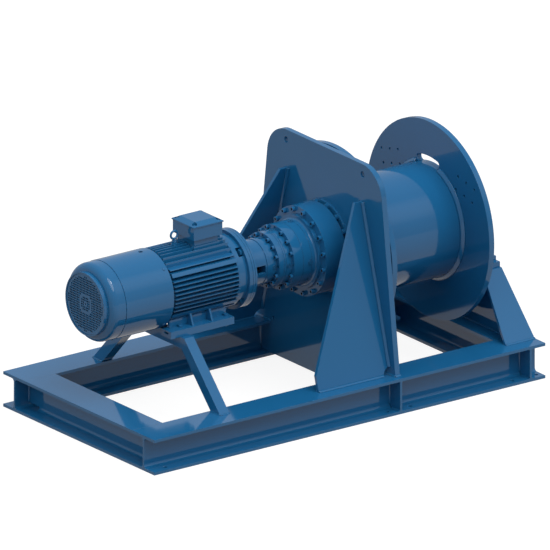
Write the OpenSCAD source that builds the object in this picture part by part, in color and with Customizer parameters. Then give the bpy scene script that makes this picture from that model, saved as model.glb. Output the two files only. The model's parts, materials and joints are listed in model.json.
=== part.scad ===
// Wire rope winch: a drum driven by a brake motor through a three-stage planetary gearbox, all on
// one line above a welded skid frame. Millimetres, +Z up, the motor at the -X end.
// Inside the modules X is counted from the motor end of the frame, Y from the centre line and Z from
// the ground; in_frame() moves that to the middle of the footprint.

/* [Skid frame] */
// Width of the frame
frame_w = 1090; // [1040:10:1200]
// Height of the beams
beam_h = 160; // [140:10:200]
// Width of the beam flanges
beam_w = 160; // [140:10:180]
// Thickness of the beam flanges
beam_flange = 13; // [10:0.5:16]
// Thickness of the beam webs
beam_web = 8; // [6:0.5:12]
// Root radius between web and flange
beam_root = 15; // [10:1:18]
// Thickness of the web stiffeners
stiffener_t = 10; // [6:1:16]
// Diameter of the anchor holes
anchor_d = 18; // [14:1:26]
// Distance of the anchor holes from the flange edge
anchor_edge = 30; // [24:1:40]
// Distance of the last anchor hole from the bearing end of the frame
anchor_end = 28; // [20:1:60]

/* [Drum axis] */
// Height of the drum axis above the frame
axis_h = 455; // [440:1:520]
// Motor-side face of the gearbox plate, from the motor end of the frame
plate_x = 1307; // [1290:1:1340]

/* [Gearbox plate] */
// Thickness of the gearbox plate
plate_t = 25; // [16:1:35]
// Height of the plate above the frame
plate_h = 899; // [860:1:960]
// Half width of the plate at its top
plate_top_half = 397; // [360:1:430]
// Radius of the plate's top corners
plate_corner = 140; // [60:5:180]
// Diameter of the lifting holes
lift_d = 28; // [20:1:40]
// Distance of the lifting holes from the centre line
lift_y = 275; // [200:5:300]
// Distance of the lifting holes below the top of the plate
lift_drop = 46; // [36:1:80]

/* [Gussets] */
// Thickness of the gussets
gusset_t = 15; // [8:1:25]
// Length of a gusset along the rail
gusset_l = 382; // [300:2:400]
// Height of a gusset on the plate
gusset_h = 730; // [600:5:800]
// Width of a gusset at its top
gusset_top = 41; // [20:1:80]
// Height of the upright toe of a gusset
gusset_toe = 62; // [20:1:100]
// Radius of the weld scallop in the corner
scallop_r = 35; // [20:1:50]
// Distance of a gusset's outer face from the centre line at its top
gusset_top_y = 276; // [255:1:330]

/* [Bearing pedestal] */
// Distance from the inner face of the right drum flange to the middle of the pedestal
pedestal_gap = 143; // [125:1:200]
// Thickness of the pedestal plates
pedestal_t = 12; // [8:1:20]
// Thickness of the pedestal's top plate
pedestal_top_t = 20; // [12:1:30]
// Width of the side plates at the bottom
pedestal_foot_w = 155; // [120:1:160]
// Width of the side plates and the top plate at the top
pedestal_head_w = 98; // [90:1:120]
// Length that the pedestal stands past each end of the plummer block
pedestal_edge = 9.5; // [4:0.5:20]

/* [Motor trestle] */
// Side of the square tube
tube_w = 50; // [40:2:60]
// Wall of the square tube
tube_wall = 4; // [3:0.5:6]
// Distance of a leg's outer face from the rail's middle, inwards
leg_inset = 6; // [0:1:20]
// Length that the crossbar stands past each motor foot
crossbar_over = 25; // [10:1:40]

/* [Motor] */
// Height of the motor shaft above its feet
shaft_h = 180; // [178:1:190]
// Distance from the flange to the front foot bolts
foot_c = 121; // [110:1:130]
// Distance between the foot bolts along the motor
foot_b = 241; // [230:1:260]
// Distance between the foot bolts across the motor
foot_a = 279; // [270:1:290]
// Diameter of the foot bolts
foot_bolt_d = 14; // [10:1:16]
// Width of a foot
foot_w = 65; // [55:1:70]
// Height of a foot
foot_h = 32; // [20:1:34]
// Radius of the motor flange
motor_flange_r = 175; // [172:1:190]
// Thickness of the motor flange
motor_flange_t = 18; // [14:1:22]
// Pitch circle radius of the flange bolts
flange_pcr = 150; // [146:1:152]
// Radius of the motor spigot
spigot_r = 125; // [118:1:128]
// Radius of the housing core
core_r = 138; // [136:1:142]
// Radius over the fins
fin_r = 172; // [166:1:173]
// Thickness of a fin
fin_t = 4; // [2.5:0.5:5]
// Pitch of the fins
fin_pitch = 19; // [18:0.5:21]
// Length of the ribbed housing
housing_l = 345; // [340:1:350]
// Length of the drive-end shield with its flange
shield_l = 65; // [60:1:70]
// Outer radius of the stator core
stator_r = 130; // [126:0.5:131]
// Outer radius of the rotor core
rotor_r = 91; // [80:0.5:92]
// Length of the stator core
stator_l = 190; // [170:1:200]
// Radius of the shaft end
shaft_r = 24; // [22:0.5:26]
// Length of the shaft end past the flange
shaft_end_l = 110; // [90:1:112]

/* [Fan cowl] */
// Radius of the cowl
cowl_r = 176; // [174:0.5:180]
// Length of the cowl
cowl_l = 346; // [335:1:360]
// Thickness of the cowl's sheet
cowl_t = 3; // [2:0.5:4]
// Radius of the cowl's rear shoulder
cowl_round = 33.5; // [20:0.5:36]
// Radius of the grille
grille_r = 134; // [128:1:138]
// Pitch of the grille's holes across
grille_pitch_y = 10.4; // [9:0.1:14]
// Pitch of the grille's holes upwards
grille_pitch_z = 10.5; // [9:0.1:14]
// Diameter of the brake release hole
release_d = 20; // [12:1:26]

/* [Brake] */
// Air gap that the armature travels
brake_gap = 0.6; // [0.4:0.1:1]
// Radius of the brake magnet
magnet_r = 122; // [118:1:130]
// Radius of the brake disc
brake_disc_r = 104; // [90:1:106]

/* [Terminal box] */
// Distance from the motor flange to the middle of the box
box_at = 168; // [160:1:180]
// Distance from the box to the lifting eye
eye_gap = 49; // [42:1:60]
// Length of the box along the motor
box_l = 152; // [144:1:162]
// Width of the box
box_w = 152; // [140:1:160]
// Height of the box with its lid
box_h = 77; // [66:1:90]
// Height of the box bottom above the drum axis
box_z = 196; // [190:1:205]

/* [Gearbox] */
// Length of the neck between the last stage and the gearbox plate
neck_l = 29; // [28:1:40]
// Length of the third stage
third_l = 106; // [104:1:112]
// Length of the second stage
second_l = 130; // [126:1:136]
// Length of the first stage
first_l = 64; // [62:1:70]
// Length of the input neck
input_l = 48; // [44:1:52]
// Length of the windowed bell
bell_l = 108; // [104:1:114]
// Thickness of the adapter disc
adapter_t = 22; // [18:1:26]
// Radius of the third stage
third_r = 199; // [196:1:206]
// Radius of the second stage
second_r = 144; // [142:1:150]
// Radius of the first stage's flange
first_r = 122.5; // [122:0.5:128]
// Radius of the input neck
input_r = 102; // [96:0.5:102]
// Radius of the bell
bell_r = 101; // [96:1:104]
// Gear module of the first stage
first_m = 4; // [3.8:0.1:4.1]
// Gear module of the second stage
second_m = 5.2; // [5:0.1:5.3]
// Gear module of the third stage
third_m = 7.4; // [7:0.1:7.5]
// Radius of the output shaft
output_r = 60; // [50:1:64]

/* [Drum] */
// Gap between the gearbox plate and the drum
drum_gap = 9; // [6:1:14]
// Distance between the drum flanges
drum_w = 490; // [480:2:510]
// Outer radius of the barrel
barrel_r = 254; // [240:1:270]
// Wall of the barrel
barrel_t = 14; // [10:1:20]
// Outer radius of the drum flanges
rim_r = 444; // [430:1:446]
// Thickness of the drum flanges
rim_t = 26; // [18:1:30]
// Radial width of the rope slot
slot_w = 33; // [24:1:40]
// Half span of the rope slot
slot_half = 81; // [60:1:100]
// Diameter of the rope-clamp holes
clamp_d = 12; // [10:1:16]
// Pitch of the clamp holes along a row
clamp_pitch_a = 60.5; // [50:0.5:70]
// Pitch between the two rows of clamp holes
clamp_pitch_b = 64; // [50:1:76]
// Distance of a clamp-hole group from the drum axis
clamp_r = 340; // [330:1:350]
// Angle of a clamp-hole group from the vertical
clamp_angle = 52; // [46:1:58]
// Lean of a clamp-hole row from the horizontal
clamp_lean = 13; // [8:1:18]

/* [Plummer block] */
// Height of the bearing centre above the pedestal
bearing_h = 183; // [180:1:196]
// Length of the foot
bearing_foot_l = 525; // [510:5:540]
// Thickness of the foot
bearing_foot_t = 24; // [18:1:30]
// Width of the plummer block
bearing_w = 95; // [90:1:97]
// Outer radius of the support bearing
bearing_r = 105; // [98:1:108]
// Wall of the plummer block
bearing_wall = 25; // [18:1:30]
// Radius of the stub shaft
stub_r = 60; // [50:1:64]

/* [Hidden] */
$fn = 96;

// Clearances shared by every fit
seat = 0.3;       // between fixed curved faces of one body
running = 0.05;   // radial, shaft in bearing
air = 2;          // between parts that turn past each other
cut = 1;          // how far a cutting shape stands past what it cuts

paint = [0.13, 0.38, 0.60];
steel = [0.62, 0.64, 0.67];
copper = [0.72, 0.42, 0.22];

// Frame, as long as the drum and its bearing need
left_x = plate_x + plate_t + drum_gap;
right_x = left_x + rim_t + drum_w;
pedestal_x = right_x + pedestal_gap;
frame_l = pedestal_x + beam_w / 2;
rail_y = frame_w / 2 - beam_w / 2;
rail_web_y = rail_y - beam_web / 2;
flange_tip_y = rail_y - beam_w / 2;
end_xs = [beam_w / 2, pedestal_x];
deck_z = beam_h;
axis_z = deck_z + axis_h;
anchor_y = frame_w / 2 - anchor_edge;
anchor_front = beam_w / 2;
anchor_xs = [anchor_front, plate_x - 45, plate_x + 75, frame_l - 155, frame_l - anchor_end];
stiffener_xs = [plate_x + 1, end_xs[1] - stiffener_t / 2 + 3];

// Gearbox plate
plate_base_half = rail_y + 46;
plate_bore_r = 131;
foot_hole_d = 14;
foot_hole_y = 367;
foot_hole_z = 16;

// Stations along the drum axis, from the motor end of the frame
neck_x = plate_x - neck_l;
third_x = neck_x - third_l;
second_x = third_x - second_l;
first_x = second_x - first_l;
input_x = first_x - input_l;
bell_x = input_x - bell_l;
flange_x = bell_x - adapter_t;
shield_x = flange_x - shield_l;
housing_x = shield_x - housing_l;
front_foot_x = flange_x - foot_c;
rear_foot_x = front_foot_x - foot_b;
cowl_end_x = housing_x - 12;
cowl_x = cowl_end_x - cowl_l;
stator_x = housing_x + (housing_l - stator_l) / 2;
rear_shield_t = 45;
rear_shield_x = housing_x - rear_shield_t;

// Drum
barrel_x = left_x;
barrel_l = 2 * rim_t + drum_w;
barrel_in = barrel_r - barrel_t;
nose_l = 56;
nose_r = 108;
nose_end = plate_x + plate_t + nose_l;
hub_x = nose_end + air;
hub_l = 74;
hub_disc_t = 25;
end_disc_t = 20;
end_disc_x = right_x - 14;

// Pedestal and plummer block
pedestal_h = axis_h - bearing_h;
pedestal_foot_y = rail_y + 8;
pedestal_head_y = bearing_foot_l / 2 + pedestal_edge;
bearing_x = pedestal_x - bearing_w / 2;
bearing_t = 60;
block_r = bearing_r + bearing_wall;
ear_half = block_r + 44;
cap_bolt_y = block_r + 20;
foot_step_l = 28.5;
foot_step_h = 18;
block_bolt_y = bearing_foot_l / 2 - foot_step_l - 29.5;
stub_start = end_disc_x - 30;
stub_end = bearing_x + bearing_w + 14;

// Trestle
foot_half = foot_a / 2 + 35.5;
crossbar_z = axis_z - shaft_h;
crossbar_half = foot_half + crossbar_over;
leg_foot_y = rail_y - leg_inset;
leg_angle = atan((crossbar_z - deck_z) / (leg_foot_y - crossbar_half));
mitre = tube_w * tan(leg_angle / 2);

// Gears: 12-tooth suns, 15-tooth planets and 42-tooth rings, ratio 1 + 42 / 12 a stage
sun_n = 12;
planet_n = 15;
ring_n = 42;
planets = 3;
pressure = 25;
addendum = 0.8;
dedendum = 1.05;
backlash = 0.2;
flank_steps = 3;
first_b = 28;
second_b = 42;
third_b = 50;
first_pin_r = 12;
second_pin_r = 17;
third_pin_r = 23;

function centre_distance(m) = m * (sun_n + planet_n) / 2;
function disc_radius(m, pin_r) = centre_distance(m) + pin_r + 1.4 * m + 2;
function inv(a) = tan(a) * 180 / PI - a;
function flank_angle(n, m, r, grow) =
    let (rp = n * m / 2, rb = rp * cos(pressure))
    90 / n + grow / rp * 180 / PI + inv(pressure) - (r <= rb ? 0 : inv(acos(rb / r)));
function tooth_radii(n, m, low, high) =
    let (rb = n * m / 2 * cos(pressure), from = max(low, rb))
    concat(
        low < rb ? [low] : [],
        [for (i = [0 : flank_steps]) from + (high - from) * i / flank_steps]
    );
function tooth_points(n, m, low, high, grow) =
    let (rs = tooth_radii(n, m, low, high), last = len(rs) - 1)
    [for (k = [0 : n - 1], side = [-1, 1], i = [0 : last])
        let (r = rs[side < 0 ? i : last - i], a = k * 360 / n + side * flank_angle(n, m, r, grow))
        [r * cos(a), r * sin(a)]];
function outer_teeth(n, m) =
    tooth_points(n, m, n * m / 2 - dedendum * m, n * m / 2 + addendum * m, -backlash);
function ring_spaces(n, m) =
    tooth_points(n, m, n * m / 2 - addendum * m, n * m / 2 + dedendum * m, backlash);
function polar(r, a) = [r * cos(a), r * sin(a)];

// Housing joints along the gearbox: each stage is screwed to the flange of the one before it
cover_l = 22;
second_flange_l = 48;
third_flange_l = 22;
output_flange_l = 14;
first_joint = first_x + cover_l;
second_joint = second_x + second_flange_l;
third_joint = third_x + third_flange_l;
output_joint = neck_x - output_flange_l;
first_screw_r = 112;
second_screw_r = 134;
third_screw_r = 185;

// Stage layout along the axis: a carrier disc, the gears, a carrier disc
disc_gap = 2;
first_gear_x = first_joint + 3;
second_gear_x = second_joint + 4;
third_gear_x = third_joint + 5;
first_disc_t = 8;
second_disc_t = 12;
third_disc_t = 14;

module in_frame() { translate([-frame_l / 2, 0, 0]) children(); }

// Local XY becomes world YZ and local Z runs along +X from station x on the drum axis
module on_axis(x) { translate([x, 0, axis_z]) rotate([90, 0, 90]) children(); }

// The same turn about the ground line, for plates drawn in world YZ
module across(x) { translate([x, 0, 0]) rotate([90, 0, 90]) children(); }

// Draws in world XZ and runs along -Y from y
module lengthwise(y) { translate([0, y, 0]) rotate([90, 0, 0]) children(); }

module both_sides() {
    for (side = [0, 1]) mirror([0, side, 0]) children();
}

module around(n, r, start = 0) {
    for (k = [0 : n - 1]) rotate([0, 0, start + k * 360 / n]) translate([r, 0, 0]) children();
}

module tube(x, l, outer, inner) {
    on_axis(x) difference() {
        cylinder(r = outer, h = l);
        translate([0, 0, -cut]) cylinder(r = inner, h = l + 2 * cut);
    }
}

module disc(x, l, r) { on_axis(x) cylinder(r = r, h = l); }

module bore(x, l, r) { on_axis(x - cut) cylinder(r = r, h = l + 2 * cut); }

// Socket-head screw: its head stands off the face towards local -Z, its shank goes in along +Z
module socket_screw(d, l) {
    head_r = 0.78 * d;
    difference() {
        translate([0, 0, -d]) cylinder(r = head_r, h = d);
        translate([0, 0, -d - cut]) cylinder(r = 0.46 * d, h = 0.55 * d + cut, $fn = 6);
    }
    cylinder(r = d / 2, h = l);
}

module hex_bolt(d, head_h, l) {
    translate([0, 0, -head_h]) cylinder(r = 0.95 * d, h = head_h, $fn = 6);
    cylinder(r = d / 2, h = l);
}

// Wide-flange section, its width along X and its foot at Y = 0
module beam_section() {
    clear_h = beam_h - 2 * beam_flange;
    side_w = beam_w / 2 - beam_web / 2;
    difference() {
        translate([-beam_w / 2, 0]) square([beam_w, beam_h]);
        for (side = [0, 1]) mirror([side, 0]) translate([beam_web / 2, beam_flange]) {
            translate([beam_root, 0]) square([side_w - beam_root + cut, clear_h]);
            translate([0, beam_root]) square([side_w, clear_h - 2 * beam_root]);
            for (y = [beam_root, clear_h - beam_root]) translate([beam_root, y]) circle(beam_root);
        }
    }
}

module side_rails() {
    color(paint) in_frame() both_sides() difference() {
        across(0) linear_extrude(frame_l) translate([-rail_y, 0]) beam_section();
        for (x = anchor_xs) translate([x, -anchor_y, -cut])
            cylinder(d = anchor_d, h = beam_flange + 2 * cut);
    }
}

module end_beams() {
    cope = beam_flange + beam_root;
    color(paint) in_frame() for (x = end_xs) {
        translate([x, 0, 0]) union() {
            lengthwise(flange_tip_y) linear_extrude(2 * flange_tip_y) beam_section();
            translate([-beam_web / 2, -rail_web_y, cope])
                cube([beam_web, 2 * rail_web_y, beam_h - 2 * cope]);
        }
    }
}

module web_stiffeners() {
    inner = rail_y + beam_web / 2;
    outer = frame_w / 2;
    low = beam_flange;
    high = beam_h - beam_flange;
    snip = beam_root + 1;
    color(paint) in_frame() both_sides() for (x = stiffener_xs)
        across(x) linear_extrude(stiffener_t) polygon([
            [-inner, low + snip], [-inner - snip, low], [-outer, low],
            [-outer, high], [-inner - snip, high], [-inner, high - snip]
        ]);
}

// Straight outline of the gearbox plate, right half and its mirror image
module plate_outline() {
    top = deck_z + plate_h;
    slope = atan((plate_base_half - plate_top_half) / plate_h);
    corner_y = top - plate_corner;
    side_at = plate_base_half - (corner_y - deck_z) * tan(slope);
    corner_x = side_at - plate_corner / cos(slope);
    tangent = [corner_x + plate_corner * cos(slope), corner_y + plate_corner * sin(slope)];
    snip = beam_root;
    half = [
        [0, beam_flange], [rail_web_y - snip, beam_flange], [rail_web_y, beam_flange + snip],
        [rail_web_y, beam_h - beam_flange - snip], [rail_web_y - snip, beam_h - beam_flange],
        [flange_tip_y, beam_h - beam_flange], [flange_tip_y, deck_z], [plate_base_half, deck_z],
        tangent, [corner_x, top], [0, top]
    ];
    for (side = [0, 1]) mirror([side, 0]) {
        polygon(half);
        translate([corner_x, corner_y]) circle(plate_corner);
    }
}

plate_screw_r = 191;
plate_screws = 16;
plate_screw_d = 16;

module gearbox_plate() {
    lift_z = deck_z + plate_h - lift_drop;
    color(paint) in_frame() difference() {
        across(plate_x) linear_extrude(plate_t) plate_outline();
        bore(plate_x, plate_t, plate_bore_r);
        both_sides() across(plate_x - cut) {
            translate([lift_y, lift_z, 0]) cylinder(d = lift_d, h = plate_t + 2 * cut);
            translate([foot_hole_y, deck_z + foot_hole_z, 0])
                cylinder(d = foot_hole_d, h = plate_t + 2 * cut);
        }
        on_axis(plate_x - cut) around(plate_screws, plate_screw_r, 360 / plate_screws / 2)
            cylinder(d = plate_screw_d + 2 * seat, h = plate_t + 2 * cut);
    }
}

gusset_foot_y = rail_y + 12;

module plate_gussets() {
    lean = atan((gusset_foot_y - gusset_top_y) / gusset_h);
    wide = gusset_t / cos(lean);
    top_y = gusset_foot_y - gusset_h * tan(lean);
    high = deck_z + gusset_h;
    start = plate_x - gusset_l;
    color(paint) in_frame() both_sides() intersection() {
        across(start) linear_extrude(gusset_l) polygon([
            [-gusset_foot_y, deck_z], [-gusset_foot_y + wide, deck_z],
            [-top_y + wide, high], [-top_y, high]
        ]);
        lengthwise(0) linear_extrude(gusset_foot_y + cut) difference() {
            polygon([
                [start, deck_z], [start - 3, deck_z + gusset_toe],
                [plate_x - gusset_top, high], [plate_x, high], [plate_x, deck_z]
            ]);
            translate([plate_x, deck_z]) circle(scallop_r);
        }
    }
}

pedestal_under = deck_z + pedestal_h - pedestal_top_t;
pedestal_high = deck_z + pedestal_h;
pedestal_lean = atan((pedestal_foot_y - pedestal_head_y) / pedestal_h);
pedestal_wide = pedestal_t / cos(pedestal_lean);

// Distance of a side plate's inner face from the centre line at height z
function pedestal_in(z) = pedestal_foot_y - pedestal_wide - (z - deck_z) * tan(pedestal_lean);

module pedestal_web() {
    color(paint) in_frame() across(pedestal_x - pedestal_t / 2) linear_extrude(pedestal_t)
        polygon([
            [-pedestal_in(deck_z), deck_z], [pedestal_in(deck_z), deck_z],
            [pedestal_in(pedestal_under), pedestal_under],
            [-pedestal_in(pedestal_under), pedestal_under]
        ]);
}

module pedestal_sides() {
    half_foot = pedestal_foot_w / 2;
    half_head = pedestal_head_w / 2;
    color(paint) in_frame() both_sides() intersection() {
        across(pedestal_x - half_foot) linear_extrude(pedestal_foot_w) polygon([
            [-pedestal_foot_y, deck_z], [-pedestal_foot_y + pedestal_wide, deck_z],
            [-pedestal_head_y + pedestal_wide, pedestal_high], [-pedestal_head_y, pedestal_high]
        ]);
        lengthwise(0) linear_extrude(pedestal_foot_y + cut) polygon([
            [pedestal_x - half_foot, deck_z], [pedestal_x + half_foot, deck_z],
            [pedestal_x + half_head, pedestal_high], [pedestal_x - half_head, pedestal_high]
        ]);
    }
}

block_bolt_d = 20;

module pedestal_top() {
    color(paint) in_frame() difference() {
        across(pedestal_x - pedestal_head_w / 2) linear_extrude(pedestal_head_w) polygon([
            [-pedestal_in(pedestal_under), pedestal_under], [pedestal_in(pedestal_under), pedestal_under],
            [pedestal_in(pedestal_high), pedestal_high], [-pedestal_in(pedestal_high), pedestal_high]
        ]);
        both_sides() translate([pedestal_x, block_bolt_y, pedestal_under - cut])
            cylinder(d = block_bolt_d + 2 * seat, h = pedestal_top_t + 2 * cut);
    }
}

// Side view of a trestle leg: trim narrows it on both faces, over lengthens it at both ends
module leg_outline(trim, over) {
    drop = crossbar_z - deck_z;
    inner_top = crossbar_half - mitre;
    slide = trim / sin(leg_angle);
    foot_w_cut = tube_w / sin(leg_angle);
    shift = trim * tan(leg_angle / 2);
    along = [over * cos(leg_angle), -over * sin(leg_angle)];
    polygon([
        [crossbar_half - shift, crossbar_z - trim] - along,
        [inner_top + shift, crossbar_z - tube_w + trim] - along,
        [leg_foot_y - foot_w_cut + slide, deck_z] + along,
        [leg_foot_y - slide, deck_z] + along
    ]);
}

module trestle_legs() {
    start = rear_foot_x - tube_w / 2;
    color(paint) in_frame() both_sides() difference() {
        across(start) linear_extrude(tube_w) leg_outline(0, 0);
        across(start + tube_wall) linear_extrude(tube_w - 2 * tube_wall) leg_outline(tube_wall, 2 * cut);
    }
}

module crossbar_outline(trim, over) {
    shift = trim * tan(leg_angle / 2);
    half_top = crossbar_half - shift + over;
    half_low = crossbar_half - mitre + shift + over;
    polygon([
        [-half_top, crossbar_z - trim], [half_top, crossbar_z - trim],
        [half_low, crossbar_z - tube_w + trim], [-half_low, crossbar_z - tube_w + trim]
    ]);
}

module trestle_crossbar() {
    start = rear_foot_x - tube_w / 2;
    color(paint) in_frame() difference() {
        across(start) linear_extrude(tube_w) crossbar_outline(0, 0);
        across(start + tube_wall) linear_extrude(tube_w - 2 * tube_wall)
            crossbar_outline(tube_wall, 2 * cut);
        both_sides() translate([rear_foot_x, foot_a / 2, crossbar_z - tube_w - cut])
            cylinder(d = foot_bolt_d + 2 * seat, h = tube_w + 2 * cut);
    }
}

// Cross-section of the ribbed housing: level fins on the sides up to a bar, upright fins above and
// below, and between them a groove under one more level fin
bar_z = 84.4;
bar_t = 15.2;
ledge_z = 110.6;

module housing_section() {
    post = [92, 6];
    under_trim = 10;
    circle(core_r);
    intersection() {
        circle(fin_r);
        for (z = [for (k = [0 : 3]) (k + 0.5) * fin_pitch - fin_t / 2, ledge_z], side = [-1, 1])
            translate([-fin_r, side > 0 ? z : -z - fin_t]) square([2 * fin_r, fin_t]);
    }
    intersection() {
        circle(fin_r);
        for (side = [-1, 1]) translate([-fin_r, side > 0 ? bar_z : -bar_z - bar_t])
            square([2 * fin_r, bar_t]);
    }
    for (k = [-4 : 4], side = [-1, 1]) {
        y = k * fin_pitch;
        from = sqrt(core_r * core_r - y * y) - cut;
        to = sqrt(fin_r * fin_r - y * y) - (side < 0 ? under_trim : 0);
        translate([y - fin_t / 2, side > 0 ? from : -to]) square([fin_t, to - from]);
    }
    post_top = sqrt(pow(fin_r - 4, 2) - pow(post[0] + post[1], 2));
    for (y = [-1, 1]) translate([y > 0 ? post[0] : -post[0] - post[1], -post_top + under_trim])
        square([post[1], 2 * post_top - under_trim]);
}

// Four lugs in the groove, at the end that the drive-end shield is tied to
module tie_lugs(x, l) {
    on_axis(x) linear_extrude(l) intersection() {
        circle(fin_r - 7);
        for (y = [-1, 1], z = [-1, 1])
            translate([y > 0 ? 86 : -128, z > 0 ? bar_z + bar_t - cut : -ledge_z]) square([42, 12]);
    }
}

box_x = flange_x - box_at - box_l / 2;
box_pad_in = 8;
box_pad_l = box_l - 2 * box_pad_in;
box_pad_w = box_w - 20;
pad_top = fin_r - 6;
eye_x = box_x - eye_gap;
eye_pad_r = 14;
eye_pad_top = fin_r + 2;
foot_start = rear_foot_x - 77.5;
foot_l = foot_b + 97;
foot_wall_y = foot_half - foot_w;

module motor_foot() {
    rib_xs = [rear_foot_x + 47, rear_foot_x + 149];
    rib_t = 9;
    wall_t = 14;
    foot_z = crossbar_z;
    slot = [44, 30, 9];
    difference() {
        translate([foot_start, -foot_half, foot_z]) cube([foot_l, foot_w, foot_h]);
        for (x = [rear_foot_x, front_foot_x]) translate([x, -foot_a / 2, foot_z - cut])
            cylinder(d = foot_bolt_d + 2 * seat, h = foot_h + 2 * cut);
        translate([foot_start - cut, -foot_half + foot_w / 2 - slot[1] / 2, foot_z + foot_h / 2])
            cube(slot);
    }
    wall_end = foot_start + foot_l - 8;
    translate([housing_x, -foot_wall_y - wall_t, foot_z + foot_h - cut])
        cube([wall_end - housing_x, wall_t, axis_z - foot_z - foot_h - 88]);
    for (x = rib_xs) across(x) linear_extrude(rib_t) polygon([
        [-foot_half + 12, foot_z + foot_h - cut], [-foot_wall_y, foot_z + foot_h - cut],
        [-foot_wall_y, axis_z - 84], [-foot_wall_y - 26, axis_z - 84]
    ]);
}

module motor_housing() {
    color(paint) in_frame() difference() {
        union() {
            on_axis(housing_x) linear_extrude(housing_l) housing_section();
            translate([box_x + box_pad_in, -box_pad_w / 2, axis_z])
                cube([box_pad_l, box_pad_w, pad_top]);
            translate([eye_x, 0, axis_z]) cylinder(r = eye_pad_r, h = eye_pad_top);
            both_sides() motor_foot();
            tie_lugs(shield_x - lug_l, lug_l - 1);
        }
        bore(housing_x, housing_l, stator_r + seat);
        translate([eye_x, 0, axis_z + core_r]) cylinder(r = eye_shank_r + seat, h = fin_r);
        translate([box_x + box_l / 2, 0, axis_z + core_r - 20]) cylinder(r = 20, h = fin_r);
        translate([box_x + box_pad_in, -box_pad_w / 2, axis_z + pad_top])
            cube([box_pad_l, box_pad_w, fin_r]);
    }
}

lug_l = 23;
eye_shank_r = 5;
eye_ring_r = 17.5;
eye_wire_r = 5;

module lifting_eye() {
    collar_h = 15;
    ring_z = eye_pad_top + collar_h + eye_ring_r + 8;
    color(paint) in_frame() translate([eye_x, 0, axis_z]) union() {
        translate([0, 0, eye_pad_top - 24]) cylinder(r = eye_shank_r, h = 25);
        translate([0, 0, eye_pad_top]) cylinder(r = 11, h = collar_h);
        translate([0, 0, eye_pad_top + collar_h - cut]) cylinder(r = 6, h = 8);
        translate([0, 0, ring_z]) rotate([90, 0, 0])
            rotate_extrude() translate([eye_ring_r, 0]) circle(eye_wire_r, $fn = 32);
    }
}

module stator_core() {
    slots = 36;
    color(steel) in_frame() on_axis(stator_x) linear_extrude(stator_l) difference() {
        circle(stator_r);
        circle(rotor_r + 0.8);
        around(slots, rotor_r + 12) square([16, 5], center = true);
    }
}

module stator_winding() {
    head_l = 32;
    head_in = rotor_r + 4;
    head_out = stator_r - 6;
    color(copper) in_frame() for (x = [stator_x - head_l, stator_x + stator_l])
        on_axis(x) rotate_extrude() translate([head_in, 0]) union() {
            square([head_out - head_in, head_l]);
        }
}

motor_bearing_w = 28;
front_bearing_r = 55;
rear_bearing_r = 50;
front_seat_r = 30;
rear_seat_r = 27.5;
main_shaft_r = 32;
front_bearing_x = shield_x + 12;
rear_bearing_x = rear_shield_x + 8;
shield_r = 160;
pocket_r = 23;

module drive_end_shield() {
    wall_l = shield_l - motor_flange_t;
    pocket_from = 24;
    hollow_l = 12;
    color(paint) in_frame() difference() {
        union() {
            disc(shield_x, wall_l, shield_r);
            disc(shield_x + wall_l, motor_flange_t, motor_flange_r);
            disc(flange_x, 5, spigot_r);
        }
        on_axis(shield_x - cut) around(4, flange_pcr, 45) {
            translate([0, 0, pocket_from]) cylinder(r = pocket_r, h = wall_l - pocket_from + 2 * cut);
            cylinder(d = flange_bolt_d + 2 * seat, h = shield_l + 2 * cut);
        }
        bore(shield_x, hollow_l, stator_r);
        bore(front_bearing_x, motor_bearing_w, front_bearing_r);
        bore(front_bearing_x, shield_l, main_shaft_r + 4);
    }
}

flange_bolt_d = 16;

module rear_end_shield() {
    tongue_l = 30;
    tongue_w = 34;
    color(paint) in_frame() difference() {
        union() {
            disc(rear_shield_x, 20, magnet_r);
            disc(rear_shield_x, rear_shield_t, rear_bearing_r + 14);
            disc(housing_x - 14, 14, core_r + 6);
            tube(rear_shield_x + 19, 26 - cut, core_r + 6, core_r - 8);
            intersection() {
                disc(rear_shield_x, tongue_l, cowl_r - cowl_t - seat);
                on_axis(rear_shield_x) for (a = [45, 135, 225, 315]) rotate([0, 0, a])
                    translate([0, -tongue_w / 2, 0]) cube([cowl_r, tongue_w, tongue_l]);
            }
            tube(rear_shield_x + 19, 26 - cut, magnet_r, rear_bearing_r);
        }
        bore(rear_bearing_x, motor_bearing_w, rear_bearing_r);
        bore(rear_shield_x, rear_shield_t, main_shaft_r + 4);
    }
}

module motor_bearings() {
    fits = [
        [front_bearing_x, front_bearing_r, front_seat_r],
        [rear_bearing_x, rear_bearing_r, rear_seat_r]
    ];
    color(steel) in_frame() for (f = fits) tube(f[0], motor_bearing_w, f[1] - seat, f[2] + running);
}

box_wall = 4;
lid_h = 19;
lid_plate = 5;
lid_rim = 4;
lid_screw_in = 14;
lid_floor = 3;
neck_h = box_z - pad_top;

module box_corners() {
    x_half = box_l / 2 - lid_screw_in;
    y_half = box_w / 2 - lid_screw_in;
    for (x = [-x_half, x_half], y = [-y_half, y_half]) translate([x, y]) children();
}

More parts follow.
